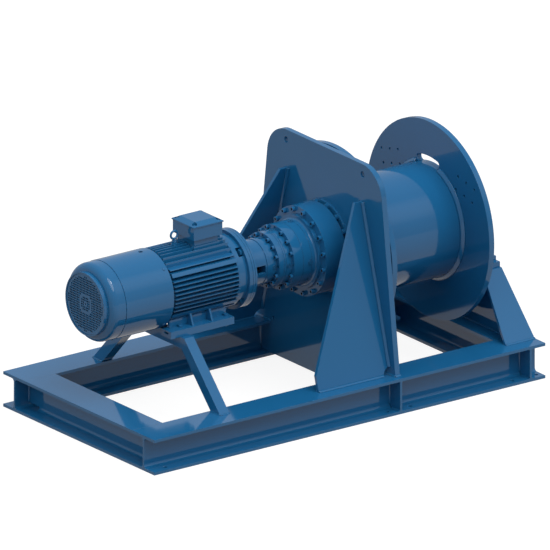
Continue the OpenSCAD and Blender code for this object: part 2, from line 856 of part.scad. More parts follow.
module terminal_box() {
    neck_in = [14, 15];
    base_z = axis_z + box_z;
    body_h = box_h - lid_h;
    board = [90, 60, 10];
    middle = box_x + box_l / 2;
    color(paint) in_frame() {
        difference() {
            union() {
                translate([box_x + neck_in[0], -box_w / 2 + neck_in[1], axis_z + pad_top])
                    cube([box_l - 2 * neck_in[0], box_w - 2 * neck_in[1], neck_h]);
                translate([box_x, -box_w / 2, base_z]) cube([box_l, box_w, body_h]);
            }
            translate([box_x + box_wall, -box_w / 2 + box_wall, base_z + box_wall])
                cube([box_l - 2 * box_wall, box_w - 2 * box_wall, body_h]);
            translate([middle, 0, axis_z + pad_top - cut]) cylinder(r = 20, h = neck_h + 10);
        }
        translate([middle - board[0] / 2, 24 - board[1] / 2 + 4, base_z + box_wall]) cube(board);
        for (x = [-1 : 1], y = [0, 1]) translate([middle + 28 * x, 13 + 30 * y, base_z + box_wall])
            cylinder(r = 4, h = 26);
        for (x = [-36, 36]) translate([middle + x, box_w / 2 - cut, base_z + body_h / 2])
            rotate([-90, 0, 0]) cylinder(r = 16, h = 7, $fn = 6);
    }
}

// Side view of the lid above its plate
module lid_slope(low, high) {
    polygon([
        [-low, lid_plate - cut], [low, lid_plate - cut], [low, lid_plate],
        [high, lid_h], [-high, lid_h], [-low, lid_plate]
    ]);
}

module terminal_lid() {
    half = [box_l / 2 + lid_rim, box_w / 2 + lid_rim];
    slope_l = 26;
    wall = 4;
    room = half - [slope_l + wall, slope_l + wall];
    color(paint) in_frame() translate([box_x + box_l / 2, 0, axis_z + box_z + box_h - lid_h])
        difference() {
            union() {
                translate([-half[0], -half[1], 0]) cube([2 * half[0], 2 * half[1], lid_plate]);
                intersection() {
                    translate([-half[0], 0, 0]) rotate([90, 0, 90]) linear_extrude(2 * half[0])
                        lid_slope(half[1], half[1] - slope_l);
                    translate([0, half[1], 0]) rotate([90, 0, 0]) linear_extrude(2 * half[1])
                        lid_slope(half[0], half[0] - slope_l);
                }
            }
            translate([-room[0], -room[1], -cut]) cube([2 * room[0], 2 * room[1], lid_h - wall + cut]);
            box_corners() {
                translate([0, 0, lid_floor]) cylinder(r = 11, h = lid_h);
                translate([0, 0, -cut]) cylinder(r = 3 + seat, h = lid_h);
            }
        }
}

module fan_cowl() {
    screw_x = rear_shield_x + 15;
    step = 1.5;
    seam = 95;
    inner = cowl_r - step - cowl_t;
    color(paint) in_frame() difference() {
        on_axis(cowl_x) rotate_extrude() difference() {
            union() {
                square([cowl_r - step - cowl_round, grille_rim_l + cut]);
                translate([0, grille_rim_l]) cowl_side(cowl_r - step, cowl_round, seam - grille_rim_l + cut);
                translate([0, seam]) square([cowl_r, cowl_l - seam]);
            }
            translate([0, grille_rim_l + cowl_t]) cowl_side(inner, cowl_round - cowl_t, cowl_l);
            translate([0, seam + cowl_t]) square([cowl_r - cowl_t, cowl_l]);
            translate([0, -cut]) square([grille_r + seat, grille_rim_l + cowl_t + 2 * cut]);
            translate([cowl_r - step - 1, seam - 2.5]) square([3, 2.5]);
        }
        translate([rear_shield_x - 17, 0, axis_z]) cylinder(d = release_d, h = cowl_r + cut);
        on_axis(screw_x) for (a = [45, 135, 225, 315]) rotate([0, 0, a]) rotate([0, 90, 0])
            cylinder(r = 4 + seat, h = cowl_r + cut);
    }
}

grille_rim_l = 20;

// Half section of a drum with one rounded shoulder at Y = 0
module cowl_side(r, round_r, l) {
    square([r - round_r, l]);
    translate([0, round_r]) square([r, l - round_r]);
    translate([r - round_r, round_r]) circle(round_r);
}

// Square mesh of square holes; an eight-sided ring round the middle stays blank
module grille_slots() {
    field_r = grille_r - 13;
    hole = 7.2;
    blank_out = 45;
    blank_in = 33;
    columns = ceil(field_r / grille_pitch_y);
    rows = ceil(field_r / grille_pitch_z);
    for (i = [-columns : columns], j = [-rows : rows]) {
        at = [(i + 0.5) * grille_pitch_y, (j + 0.5) * grille_pitch_z];
        ring = max(abs(at[0]), abs(at[1]), (abs(at[0]) + abs(at[1])) * 0.7071);
        if (norm(at) < field_r && (ring > blank_out || ring < blank_in) && norm(at) > 12)
            translate(at) square(hole, center = true);
    }
    circle(4);
}

module cowl_grille() {
    color(paint) in_frame() on_axis(cowl_x + 3) linear_extrude(cowl_t) difference() {
        circle(grille_r);
        grille_slots();
    }
}

armature_t = 10;
friction_t = 9;
disc_x = rear_shield_x - friction_t - seat;
armature_x = disc_x - seat - armature_t;
magnet_l = 62;
magnet_x = armature_x - brake_gap - seat - magnet_l;
stud_r = 4;
stud_ring = (brake_disc_r + magnet_r) / 2 + 2;

module brake_magnet() {
    color(steel) in_frame() difference() {
        union() {
            disc(magnet_x, magnet_l, magnet_r);
            on_axis(magnet_x + magnet_l - cut) around(3, stud_ring, 30)
                cylinder(r = stud_r, h = rear_shield_x - magnet_x - magnet_l + cut);
        }
        bore(magnet_x, magnet_l, shaft_mid_r + 12);
    }
}

module brake_armature() {
    color(steel) in_frame() difference() {
        disc(armature_x, armature_t, magnet_r);
        bore(armature_x, armature_t, shaft_mid_r + 12);
        on_axis(armature_x - cut) around(3, stud_ring, 30)
            cylinder(r = stud_r + 1, h = armature_t + 2 * cut);
    }
}

shaft_mid_r = 22;

module brake_disc() {
    color(steel) in_frame() tube(disc_x, friction_t, brake_disc_r, shaft_mid_r + running);
}

fan_x = magnet_x - 70;
fan_l = 46;
fan_shaft_r = 20;

module cooling_fan() {
    blades = 8;
    fan_r = cowl_r - cowl_t - 18;
    hub_r = 34;
    color(paint) in_frame() difference() {
        union() {
            disc(fan_x, fan_l, hub_r);
            disc(fan_x + fan_l - 5, 5, fan_r - 30);
            on_axis(fan_x) for (k = [0 : blades - 1]) rotate([0, 0, k * 360 / blades])
                translate([hub_r - 3, -2, 0]) cube([fan_r - hub_r, 4, fan_l]);
        }
        bore(fan_x, fan_l, fan_shaft_r + running);
    }
}

module motor_shaft() {
    rear_end = rear_bearing_x - 2;
    main_x = rear_bearing_x + motor_bearing_w;
    main_end = front_bearing_x;
    seat_end = front_bearing_x + motor_bearing_w;
    color(steel) in_frame() union() {
        disc(fan_x - 4, magnet_x - fan_x + 5, fan_shaft_r);
        disc(magnet_x, rear_end - magnet_x + 1, shaft_mid_r);
        disc(rear_end, motor_bearing_w + 3, rear_seat_r);
        disc(main_x, main_end - main_x, main_shaft_r);
        disc(main_end - 1, motor_bearing_w + 3, front_seat_r);
        disc(seat_end + 1, flange_x - seat_end + shaft_end_l - 1, shaft_r);
    }
}

module rotor_core() {
    bars = 28;
    color(steel) in_frame() difference() {
        union() {
            disc(stator_x, stator_l, rotor_r);
            for (x = [stator_x - 14, stator_x + stator_l]) tube(x, 14, rotor_r - 6, rotor_r - 26);
        }
        bore(stator_x, stator_l, main_shaft_r + running);
    }
}

module motor_bolts() {
    under = crossbar_z - tube_w;
    color(paint) in_frame() {
        both_sides() for (x = [rear_foot_x, front_foot_x]) translate([x, -foot_a / 2, 0]) {
            low = x == rear_foot_x ? under : crossbar_z;
            translate([0, 0, crossbar_z + foot_h]) cylinder(r = foot_bolt_d * 0.78, h = 8);
            translate([0, 0, low - 16]) cylinder(r = foot_bolt_d / 2, h = crossbar_z - low + foot_h + 17);
            translate([0, 0, low - 12]) cylinder(r = foot_bolt_d * 0.95, h = 12, $fn = 6);
        }
        on_axis(flange_x - motor_flange_t) around(4, flange_pcr, 45)
            hex_bolt(flange_bolt_d, 11, motor_flange_t + adapter_t);
    }
}

module trim_screws() {
    screw_x = rear_shield_x + 15;
    lid_seat = axis_z + box_z + box_h - lid_h + lid_floor;
    color(paint) in_frame() {
        on_axis(screw_x) for (a = [45, 135, 225, 315]) rotate([0, 0, a]) rotate([0, 90, 0]) {
            translate([0, 0, cowl_r]) cylinder(r1 = 7, r2 = 5, h = 3);
            translate([0, 0, cowl_r - cowl_t - seat]) cylinder(r = 4, h = cowl_t + seat + 1);
        }
        translate([box_x + box_l / 2, 0, lid_seat]) box_corners() {
            cylinder(r = 5.5, h = 4);
            translate([0, 0, -lid_floor]) cylinder(r = 3, h = lid_floor + cut);
        }
    }
}

module adapter_housing() {
    bell_t = 13;
    window = [64, 34];
    groove = 1.2;
    recess_r = spigot_r + seat;
    cone_l = 34;
    color(paint) in_frame() difference() {
        union() {
            disc(flange_x, adapter_t, motor_flange_r);
            on_axis(bell_x) cylinder(r1 = bell_r + 22, r2 = bell_r, h = cone_l);
            disc(bell_x, bell_l, bell_r);
            disc(input_x - 2, 12, input_r + 2);
            disc(input_x, input_l, input_r);
            disc(first_x, cover_l, first_r);
        }
        bore(flange_x, 5, recess_r);
        bore(flange_x, input_x - flange_x - 12, bell_r - bell_t);
        bore(input_x - 12, input_l + 12, 52);
        bore(first_x - 12, cover_l + 12, first_hollow_r);
        for (x = [flange_x - cut, bell_x - 10]) on_axis(x) rotate_extrude()
            translate([motor_flange_r - 2, 0]) square([3, groove + (x < flange_x ? cut : 0)]);
        on_axis(flange_x - cut) around(4, flange_pcr, 45)
            cylinder(d = flange_bolt_d + 2 * seat, h = adapter_t + 2 * cut);
        on_axis(bell_x + 34) for (a = [0, 180]) rotate([0, 0, a])
            translate([0, -window[1] / 2, 0]) cube([bell_r + 20, window[1], window[0]]);
        on_axis(plug_xs[0]) plug_holes(input_r, plug_r);
        on_axis(first_x - cut) stage_holes(first_screw_r, stage_d, cover_l + 2 * cut);
    }
}

stage_d = 12;
third_d = 14;
first_body_r = 124;
jack_depth = 16;
first_hollow_r = ring_n * first_m / 2 - 2;
plug_r = 9;
plug_big_r = 12;
plug_xs = [first_x - 12, second_x - 17, third_x - 46];
plug_rs = [input_r, first_body_r, second_r];
plug_sizes = [plug_r, plug_r, plug_big_r];

// Blind holes for the oil plugs, one at the front and one on top
module plug_holes(r, size) {
    for (a = [90, 180]) rotate([0, 0, a]) translate([r - 8, 0, 0]) rotate([0, 90, 0])
        cylinder(r = size + seat, h = 14);
}

// Sixteen screw places round a stage; the ones at every quarter turn are left open for jacking
module stage_screws(r) {
    for (k = [0 : 15]) if (k % 4 != 0) rotate([0, 0, k * 22.5]) translate([r, 0, 0]) children();
}

module stage_holes(r, d, l) {
    stage_screws(r) cylinder(d = d + 2 * seat, h = l);
    around(4, r) cylinder(d = d - 1, h = jack_depth + cut);
}

module third_screws() {
    around(16, third_screw_r, 11.25) children();
}

module ring_bore(x, l, m) {
    on_axis(x - cut) linear_extrude(l + 2 * cut) polygon(ring_spaces(ring_n, m));
}

module first_ring_gear() {
    hollow_r = disc_radius(second_m, second_pin_r) + air;
    color(paint) in_frame() difference() {
        union() {
            disc(first_joint, second_x - first_joint, first_r - seat);
            disc(first_joint + 6, second_x - first_joint - 6, first_body_r);
            disc(second_x, second_flange_l, second_r);
        }
        on_axis(first_joint + 14) rotate_extrude() translate([first_body_r - 1.5, 0]) square([3, 1.2]);
        ring_bore(first_joint, second_x - first_joint + 6, first_m);
        bore(second_x + 6, second_flange_l, hollow_r);
        on_axis(first_joint - cut) stage_screws(first_screw_r)
            cylinder(d = stage_d + 2 * seat, h = 21 + cut);
        on_axis(second_x - cut) stage_holes(second_screw_r, stage_d, second_flange_l + 2 * cut);
        on_axis(plug_xs[1]) plug_holes(first_body_r, plug_r);
    }
}

module second_ring_gear() {
    ring_l = second_b + 8;
    root_r = ring_n * second_m / 2 + dedendum * second_m + 1;
    hollow_r = disc_radius(third_m, third_pin_r) + air;
    collar_r = third_screw_r - 22;
    collar_l = 15;
    fillet_r = 8;
    seam = 1.2;
    color(paint) in_frame() difference() {
        union() {
            disc(second_joint, third_x - second_joint, second_r);
            disc(third_x - collar_l, collar_l + cut, collar_r);
            on_axis(third_x - collar_l - fillet_r) rotate_extrude() difference() {
                translate([second_r - cut, 0]) square([fillet_r + cut, fillet_r + cut]);
                translate([second_r + fillet_r, 0]) circle(fillet_r);
            }
            disc(third_x, third_flange_l, third_r);
        }
        ring_bore(second_joint, ring_l, second_m);
        bore(second_joint + ring_l, third_joint - second_joint - ring_l, root_r);
        bore(third_x + 7, third_flange_l, hollow_r);
        for (x = [second_joint - cut, second_joint + 44]) on_axis(x) rotate_extrude()
            translate([second_r - seam, 0]) square([3, seam + (x < second_joint ? cut : 0)]);
        on_axis(second_joint - cut) stage_screws(second_screw_r)
            cylinder(d = stage_d + 2 * seat, h = 23 + cut);
        on_axis(third_x - cut) third_screws()
            cylinder(d = third_d + 2 * seat, h = third_flange_l + 2 * cut);
        on_axis(plug_xs[2]) plug_holes(second_r, plug_big_r);
    }
}

module third_ring_gear() {
    l = output_joint - third_joint;
    color(paint) in_frame() difference() {
        disc(third_joint, l, third_r);
        ring_bore(third_joint, l, third_m);
        on_axis(third_joint - cut) third_screws()
            cylinder(d = third_d + 2 * seat, h = l + 2 * cut);
    }
}

output_bearing_r = 95;
output_bearing_w = 35;
output_bearing_xs = [neck_x + 12, neck_x + 72];

module output_housing() {
    neck_r = third_r - 21;
    hollow_r = disc_radius(third_m, third_pin_r) + air;
    mount_r = plate_screw_r + 13;
    carrier_end = third_gear_x + third_b + disc_gap + third_disc_t + air;
    mount_t = 12;
    seat_from = output_bearing_xs[0];
    color(paint) in_frame() difference() {
        union() {
            disc(output_joint, output_flange_l, third_r);
            disc(neck_x - cut, neck_l, neck_r);
            disc(plate_x - mount_t, mount_t, mount_r);
            disc(plate_x - cut, plate_t, plate_bore_r - seat);
            disc(plate_x, nose_end - plate_x, nose_r);
        }
        bore(output_joint, carrier_end - output_joint, hollow_r);
        bore(output_joint, seat_from - output_joint, output_r + 20);
        bore(seat_from + cut, nose_end - seat_from, output_bearing_r + seat);
        on_axis(output_joint - cut) third_screws()
            cylinder(d = third_d + 2 * seat, h = output_flange_l);
        on_axis(plate_x - mount_t - cut) around(plate_screws, plate_screw_r, 360 / plate_screws / 2)
            cylinder(d = plate_screw_d + 2 * seat, h = mount_t + 2 * cut);
    }
}

module output_bearings() {
    color(steel) in_frame() for (x = output_bearing_xs)
        tube(x + cut, output_bearing_w, output_bearing_r, output_r + running);
}

module housing_screws() {
    mount_t = 12;
    color(paint) in_frame() {
        on_axis(first_x) stage_screws(first_screw_r) socket_screw(stage_d, cover_l + 20);
        on_axis(second_x) stage_screws(second_screw_r) socket_screw(stage_d, second_flange_l + 22);
        on_axis(third_x) third_screws() socket_screw(third_d, output_joint - third_x + 12);
        on_axis(plate_x - mount_t) around(plate_screws, plate_screw_r, 360 / plate_screws / 2)
            socket_screw(plate_screw_d, mount_t + plate_t);
    }
}

module oil_plugs() {
    color(paint) in_frame() for (i = [0 : 2]) on_axis(plug_xs[i])
        for (a = [90, 180]) rotate([0, 0, a]) translate([plug_rs[i], 0, 0]) rotate([0, 90, 0])
            difference() {
                translate([0, 0, -8]) cylinder(r = plug_sizes[i], h = 11);
                translate([0, 0, 1]) difference() {
                    cylinder(r = plug_sizes[i] - 2, h = 3);
                    translate([0, 0, -cut]) cylinder(r = plug_sizes[i] - 3.5, h = 5);
                }
                cylinder(r = plug_sizes[i] * 0.35, h = 5, $fn = 6);
            }
}

module gear(x, l, n, m) {
    on_axis(x) linear_extrude(l) polygon(outer_teeth(n, m));
}

// Planet k of a stage, its bore on the carrier pin
module planet(x, b, m, pin_r, k) {
    color(steel) in_frame() on_axis(x) rotate([0, 0, 120 * k]) translate([centre_distance(m), 0, 0])
        linear_extrude(b) difference() {
            polygon(outer_teeth(planet_n, m));
            circle(pin_r + running);
        }
}

// Two discs joined by three pins; the front disc lets the sun gear through
module carrier(x, b, m, pin_r, disc_t) {
    r = disc_radius(m, pin_r);
    sun_r = sun_n * m / 2 + addendum * m + air + 0.6;
    tube(x - disc_gap - disc_t, disc_t, r, sun_r);
    disc(x + b + disc_gap, disc_t, r);
    on_axis(x - disc_gap - cut) around(planets, centre_distance(m))
        cylinder(r = pin_r, h = b + 2 * disc_gap + 2 * cut);
}

module first_planet(k) { planet(first_gear_x, first_b, first_m, first_pin_r, k); }
module second_planet(k) { planet(second_gear_x, second_b, second_m, second_pin_r, k); }
module third_planet(k) { planet(third_gear_x, third_b, third_m, third_pin_r, k); }

module input_pinion() {
    sleeve_x = flange_x + 5;
    sleeve_l = 110;
    sleeve_r = 34;
    sun_x = first_gear_x - 1;
    color(steel) in_frame() union() {
        difference() {
            disc(sleeve_x, sleeve_l, sleeve_r);
            bore(sleeve_x, flange_x + shaft_end_l - sleeve_x, shaft_r + running);
        }
        disc(sleeve_x + sleeve_l - 2, sun_x - sleeve_x - sleeve_l + 3, 18);
        gear(sun_x, first_b, sun_n, first_m);
    }
}

// Shaft and sun gear that a carrier's rear disc drives
module next_sun(from, shaft, x, b, m) {
    disc(from - cut, x - 1 - from + 2 * cut, shaft);
    gear(x - 1, b, sun_n, m);
}

module first_carrier() {
    color(steel) in_frame() union() {
        carrier(first_gear_x, first_b, first_m, first_pin_r, first_disc_t);
        next_sun(first_gear_x + first_b + disc_gap + first_disc_t, 23, second_gear_x, second_b, second_m);
    }
}

module second_carrier() {
    color(steel) in_frame() union() {
        carrier(second_gear_x, second_b, second_m, second_pin_r, second_disc_t);
        next_sun(second_gear_x + second_b + disc_gap + second_disc_t, 34, third_gear_x, third_b, third_m);
    }
}

module output_carrier() {
    shaft_x = third_gear_x + third_b + disc_gap + third_disc_t;
    color(steel) in_frame() union() {
        carrier(third_gear_x, third_b, third_m, third_pin_r, third_disc_t);
        disc(shaft_x - cut, hub_x + hub_l - 2 - shaft_x, output_r);
    }
}

module drum_barrel() { color(paint) in_frame() tube(barrel_x, barrel_l, barrel_r, barrel_in); }

module left_flange() { color(paint) in_frame() tube(left_x, rim_t, rim_r, barrel_r + seat); }

// Rope slot: part of a ring just outside the barrel, with round ends
module rope_slot() {
    mid_r = barrel_r + slot_w / 2;
    half_angle = asin((slot_half - slot_w / 2) / mid_r);
    intersection() {
        difference() {
            circle(barrel_r + slot_w);
            circle(barrel_r - cut);
        }
        polygon([[0, 0], polar(rim_r, 90 - half_angle), polar(rim_r, 90 + half_angle)]);
    }
    for (a = [90 - half_angle, 90 + half_angle]) translate(polar(mid_r, a)) circle(slot_w / 2);
}

module clamp_holes() {
    for (side = [0, 1]) mirror([side, 0]) translate(polar(clamp_r, 90 - clamp_angle))
        rotate(-clamp_lean) for (i = [-1 : 1], j = [-0.5, 0.5])
            translate([i * clamp_pitch_a, j * clamp_pitch_b]) circle(d = clamp_d);
}

module right_flange() {
    color(paint) in_frame() on_axis(right_x) linear_extrude(rim_t) difference() {
        circle(rim_r);
        circle(barrel_r + seat);
        rope_slot();
        clamp_holes();
    }
}

module drive_hub() {
    color(paint) in_frame() difference() {
        union() {
            disc(hub_x, hub_disc_t, barrel_in - seat);
            disc(hub_x, hub_l, output_r + 30);
        }
        bore(hub_x, hub_l, output_r + running);
    }
}

module end_disc() {
    color(paint) in_frame() tube(end_disc_x, end_disc_t, barrel_in - seat, stub_r + running);
}

module stub_shaft() { color(steel) in_frame() disc(stub_start, stub_end - stub_start, stub_r); }

ear_h = 30;
cap_bolt_d = 20;
cap_bolt_xs = [pedestal_x - 24, pedestal_x + 24];

module bearing_bores() {
    bore(pedestal_x - bearing_t / 2 + cut, bearing_t - 2 * cut, bearing_r + seat);
    bore(bearing_x, bearing_w, stub_r + cut);
    both_sides() for (x = cap_bolt_xs) translate([x, cap_bolt_y, axis_z - ear_h - cut])
        cylinder(d = cap_bolt_d + 2 * seat, h = 2 * ear_h + 2 * cut);
}

module bearing_base() {
    foot_z = deck_z + pedestal_h;
    color(paint) in_frame() difference() {
        across(bearing_x) linear_extrude(bearing_w) union() {
            translate([-bearing_foot_l / 2, foot_z]) square([bearing_foot_l, bearing_foot_t]);
            translate([-bearing_foot_l / 2 + foot_step_l, foot_z])
                square([bearing_foot_l - 2 * foot_step_l, bearing_foot_t + foot_step_h]);
            translate([-block_r - 12, foot_z]) square([2 * block_r + 24, axis_z - foot_z]);
            translate([-ear_half, axis_z - ear_h]) square([2 * ear_half, ear_h]);
        }
        bearing_bores();
        both_sides() translate([pedestal_x, block_bolt_y, foot_z - cut])
            cylinder(d = block_bolt_d + 2 * seat, h = bearing_foot_t + foot_step_h + 2 * cut);
    }
}

module bearing_cap() {
    color(paint) in_frame() difference() {
        across(bearing_x) linear_extrude(bearing_w) intersection() {
            union() {
                translate([0, axis_z]) circle(block_r);
                translate([-ear_half, axis_z]) square([2 * ear_half, ear_h]);
            }
            translate([-ear_half, axis_z]) square([2 * ear_half, block_r + cut]);
        }
        bearing_bores();
    }
}

module bearing_bolts() {
    foot_z = deck_z + pedestal_h;
    color(paint) in_frame() both_sides() {
        for (x = cap_bolt_xs) translate([x, cap_bolt_y, 0]) {
            translate([0, 0, axis_z + ear_h]) cylinder(r = cap_bolt_d * 0.9, h = 13, $fn = 6);
            translate([0, 0, axis_z - ear_h]) cylinder(d = cap_bolt_d, h = 2 * ear_h + cut);
        }
        translate([pedestal_x, block_bolt_y, 0]) {
            translate([0, 0, foot_z + bearing_foot_t + foot_step_h])
                cylinder(r = block_bolt_d * 0.9, h = 13, $fn = 6);
            translate([0, 0, pedestal_under])
                cylinder(d = block_bolt_d, h = bearing_foot_t + foot_step_h + pedestal_top_t + cut);
        }
    }
}

module support_bearing() {
    color(steel) in_frame()
        tube(pedestal_x - bearing_t / 2, bearing_t, bearing_r, stub_r + running);
}

side_rails();
end_beams();
web_stiffeners();
gearbox_plate();
plate_gussets();
pedestal_web();
pedestal_sides();
pedestal_top();
trestle_legs();
trestle_crossbar();
motor_housing();
stator_core();
stator_winding();
drive_end_shield();
rear_end_shield();
motor_bearings();
terminal_box();
terminal_lid();
lifting_eye();
fan_cowl();
cowl_grille();
brake_magnet();
motor_bolts();
trim_screws();
adapter_housing();
first_ring_gear();
second_ring_gear();
third_ring_gear();
output_housing();
output_bearings();
housing_screws();
oil_plugs();
bearing_base();
bearing_cap();
bearing_bolts();
support_bearing();
drum_barrel();
left_flange();
right_flange();
drive_hub();
end_disc();
stub_shaft();
output_carrier();
motor_shaft();
rotor_core();
cooling_fan();
brake_disc();
input_pinion();
brake_armature();
first_carrier();
second_carrier();
first_planet(0);  // first_planet_a
first_planet(1);  // first_planet_b
first_planet(2);  // first_planet_c
second_planet(0);  // second_planet_a
second_planet(1);  // second_planet_b
second_planet(2);  // second_planet_c
third_planet(0);  // third_planet_a
third_planet(1);  // third_planet_b
third_planet(2);  // third_planet_c
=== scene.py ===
"""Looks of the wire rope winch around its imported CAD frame: paint, welds, screw sockets, light and camera.

Metres, +Z up. Pieces are placed by the same stations and sizes as in part.scad.
"""
import json
import math

import bmesh
import bpy
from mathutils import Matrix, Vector


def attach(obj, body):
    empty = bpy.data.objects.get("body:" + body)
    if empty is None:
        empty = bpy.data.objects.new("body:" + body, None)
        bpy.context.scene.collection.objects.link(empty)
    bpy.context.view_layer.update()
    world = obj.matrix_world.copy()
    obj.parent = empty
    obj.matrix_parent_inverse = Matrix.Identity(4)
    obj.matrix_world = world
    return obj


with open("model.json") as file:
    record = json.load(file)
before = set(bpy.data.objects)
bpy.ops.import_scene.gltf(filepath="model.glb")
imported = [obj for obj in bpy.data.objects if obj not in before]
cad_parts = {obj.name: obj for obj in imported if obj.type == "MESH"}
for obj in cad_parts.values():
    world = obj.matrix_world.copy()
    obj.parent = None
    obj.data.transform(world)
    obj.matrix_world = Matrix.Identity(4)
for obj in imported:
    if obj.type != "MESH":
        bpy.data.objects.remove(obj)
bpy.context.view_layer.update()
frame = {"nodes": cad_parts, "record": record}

# The camera looks at AIM from the photograph's direction; IMAGE is the picture's width and height in metres
AZIMUTH, ELEVATION = math.radians(-36.44), math.radians(19.74)
AIM = Vector((0.0039, 0.0, 0.5324))
DISTANCE, IMAGE = 12.0, 2.3541

HALF_L, AXIS_Z, DECK_Z = 1.040, 0.615, 0.160
RAIL_Y, RAIL_HALF, WEB_HALF = 0.465, 0.080, 0.004


def at(x):
    """A station that part.scad counts from the motor end, in the frame's metres."""
    return x / 1000.0 - HALF_L


# ---------------------------------------------------------------- materials
def new_material(name):
    m = bpy.data.materials.new(name)
    m.use_nodes = True
    nodes, links = m.node_tree.nodes, m.node_tree.links
    shader = nodes["Principled BSDF"]
    return m, nodes, links, shader


def noise(nodes, links, scale, detail=2.0, rough=0.5):
    coord = nodes.new("ShaderNodeTexCoord")
    tex = nodes.new("ShaderNodeTexNoise")
    tex.inputs["Scale"].default_value = scale
    tex.inputs["Detail"].default_value = detail
    tex.inputs["Roughness"].default_value = rough
    links.new(coord.outputs["Object"], tex.inputs["Vector"])
    return tex


EDGE_ROUND = 0.0016     # metres by which thick paint rounds every edge
PAINTED_SHADE_REACH = 0.010            # metres: sockets, gaps and corners narrower than this get painted shade in the paint's colour


def paint_material(name, colour, dark, peel=0.02, rough=0.07):
    """Glossy machine paint: uneven in tone, with orange peel, rounded over edges, with painted shade darkening
    its colour in narrow nooks.
    """
    m, nodes, links, shader = new_material(name)
    tone = noise(nodes, links, 3.0, 4.0)
    tint = nodes.new("ShaderNodeMixRGB")
    tint.inputs["Color1"].default_value = (*dark, 1)
    tint.inputs["Color2"].default_value = (*colour, 1)
    links.new(tone.outputs["Fac"], tint.inputs["Fac"])
    # Painted shade: ambient occlusion darkens the base colour in sockets, gaps and corners
    painted_shade_ao = nodes.new("ShaderNodeAmbientOcclusion")
    painted_shade_ao.samples = 6
    painted_shade_ao.inputs["Distance"].default_value = PAINTED_SHADE_REACH
    depth = nodes.new("ShaderNodeMapRange")
    links.new(painted_shade_ao.outputs["AO"], depth.inputs["Value"])
    depth.inputs["From Min"].default_value = 0.10
    depth.inputs["From Max"].default_value = 0.46
    depth.inputs["To Min"].default_value = 0.15
    shade = nodes.new("ShaderNodeMixRGB")
    shade.blend_type = "MULTIPLY"
    shade.inputs["Fac"].default_value = 1.0
    links.new(tint.outputs["Color"], shade.inputs["Color1"])
    links.new(depth.outputs["Result"], shade.inputs["Color2"])
    links.new(shade.outputs["Color"], shader.inputs["Base Color"])
    shader.inputs["Roughness"].default_value = rough
    shader.inputs["IOR"].default_value = 1.5
    skin = noise(nodes, links, 260.0, 1.0)
    bump = nodes.new("ShaderNodeBump")
    bump.inputs["Strength"].default_value = peel
    bump.inputs["Distance"].default_value = 0.0004
    links.new(skin.outputs["Fac"], bump.inputs["Height"])
    edge = nodes.new("ShaderNodeBevel")
    edge.samples = 4
    edge.inputs["Radius"].default_value = EDGE_ROUND
    links.new(edge.outputs["Normal"], bump.inputs["Normal"])
    links.new(bump.outputs["Normal"], shader.inputs["Normal"])
    return m


def metal_material(name, colour, rough):
    m, nodes, links, shader = new_material(name)
    shader.inputs["Base Color"].default_value = (*colour, 1)
    shader.inputs["Metallic"].default_value = 1.0
    shader.inputs["Roughness"].default_value = rough
    grain = noise(nodes, links, 120.0, 3.0)
    bump = nodes.new("ShaderNodeBump")
    bump.inputs["Strength"].default_value = 0.08
    bump.inputs["Distance"].default_value = 0.0003
    links.new(grain.outputs["Fac"], bump.inputs["Height"])
    links.new(bump.outputs["Normal"], shader.inputs["Normal"])
    return m


BLUE = (0.0122, 0.136, 0.322)
paint = paint_material("blue_paint", BLUE, (0.0110, 0.126, 0.302))
steel = metal_material("turned_steel", (0.55, 0.56, 0.58), 0.3)
copper = metal_material("winding_copper", (0.62, 0.30, 0.16), 0.35)
magnet = paint_material("magnet_paint", (0.012, 0.013, 0.016), (0.009, 0.010, 0.012), rough=0.3)
# Painted shade: the cooling fan is near black so that the holes of the grille show the shade inside the cowl
fan_painted_shade = paint_material("fan_painted_shade", (0.010, 0.011, 0.012), (0.007, 0.008, 0.009), rough=0.45)
MATERIALS = {"paint": paint, "steel": steel, "copper": copper, "magnet": magnet}

slots = {s["node"]: s["material_slot"] for s in frame["record"]["subparts"]}
# Each part takes its slot's material, but the cooling fan takes the near-black painted shade
for name, obj in frame["nodes"].items():
    obj.data.materials.clear()
    obj.data.materials.append(fan_painted_shade if name == "cooling_fan" else MATERIALS[slots[name]])


# ---------------------------------------------------------------- welds
def finish_mesh(bm, name, body, material, smooth=True):
    mesh = bpy.data.meshes.new(name)
    bmesh.ops.recalc_face_normals(bm, faces=bm.faces)
    bm.to_mesh(mesh)
    bm.free()
    for p in mesh.polygons:
        p.use_smooth = smooth
    obj = bpy.data.objects.new(name, mesh)
    bpy.context.collection.objects.link(obj)
    mesh.materials.append(material)
    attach(obj, body)
    return obj


RIPPLE = 0.0045     # metres between the ripples of a weld
ARC = 5             # points across a weld's face


def bead(bm, path, sides, leg, closed=False):
    """A fillet weld along path. sides gives, at each point, the two directions in which its legs lie."""
    rings = []
    for i, (point, (u, v)) in enumerate(zip(path, sides)):
        bulge = 1.0 + 0.25 * math.sin(2 * math.pi * i / 3.0)
        ring = [point - (u + v) * leg * 0.25]
        for k in range(ARC):
            t = k / (ARC - 1)
            reach = point + u * leg * (1 - t) + v * leg * t
            ring.append(reach + (u + v).normalized() * leg * 0.05 * bulge * math.sin(math.pi * t))
        rings.append([bm.verts.new(p) for p in ring])
    count = len(rings)
    for i in range(count if closed else count - 1):
        a, b = rings[i], rings[(i + 1) % count]
        for k in range(len(a)):
            j = (k + 1) % len(a)
            bm.faces.new((a[k], a[j], b[j], b[k]))
    if not closed:
        bm.faces.new(rings[0])
        bm.faces.new(list(reversed(rings[-1])))


def line_weld(bm, start, end, u, v, leg):
    start, end, u, v = Vector(start), Vector(end), Vector(u).normalized(), Vector(v).normalized()
    steps = max(3, round((end - start).length / (RIPPLE / 1.5)))
    path = [start.lerp(end, i / steps) for i in range(steps + 1)]
    bead(bm, path, [(u, v)] * len(path), leg)


